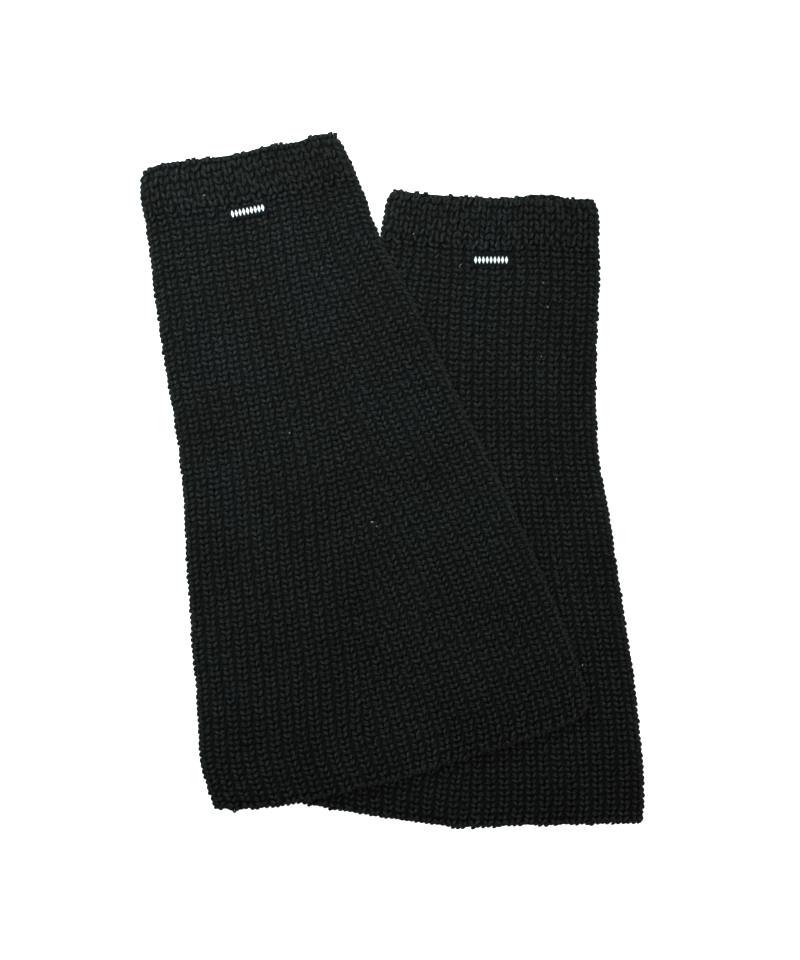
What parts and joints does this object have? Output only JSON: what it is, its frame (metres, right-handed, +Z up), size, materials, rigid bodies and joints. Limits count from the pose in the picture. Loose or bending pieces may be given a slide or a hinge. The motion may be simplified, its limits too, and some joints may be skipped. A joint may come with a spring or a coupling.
{
  "type": "pair of leg warmers",
  "caption": "Pair of flared chunky-knit leg warmers laid flat, one lying partly on the other, with turned top bands and small woven labels.",
  "frame": {"origin": "middle of the outline of the pair, on the surface they lie on", "axes": "+Y along the warmers towards their top bands, +X towards the warmer that lies underneath, +Z up"},
  "size_m": [0.3316, 0.4584, 0.015],
  "materials": {
    "black_knit": "matt",
    "woven_label": "satin"
  },
  "bodies": {
    "root": {"left_front_panel": "black_knit", "left_back_panel": "black_knit", "left_front_band": "black_knit", "left_back_band": "black_knit", "left_label": "woven_label", "right_front_panel": "black_knit", "right_back_panel": "black_knit", "right_front_band": "black_knit", "right_back_band": "black_knit", "right_label": "woven_label"}
  },
  "joints": []
}
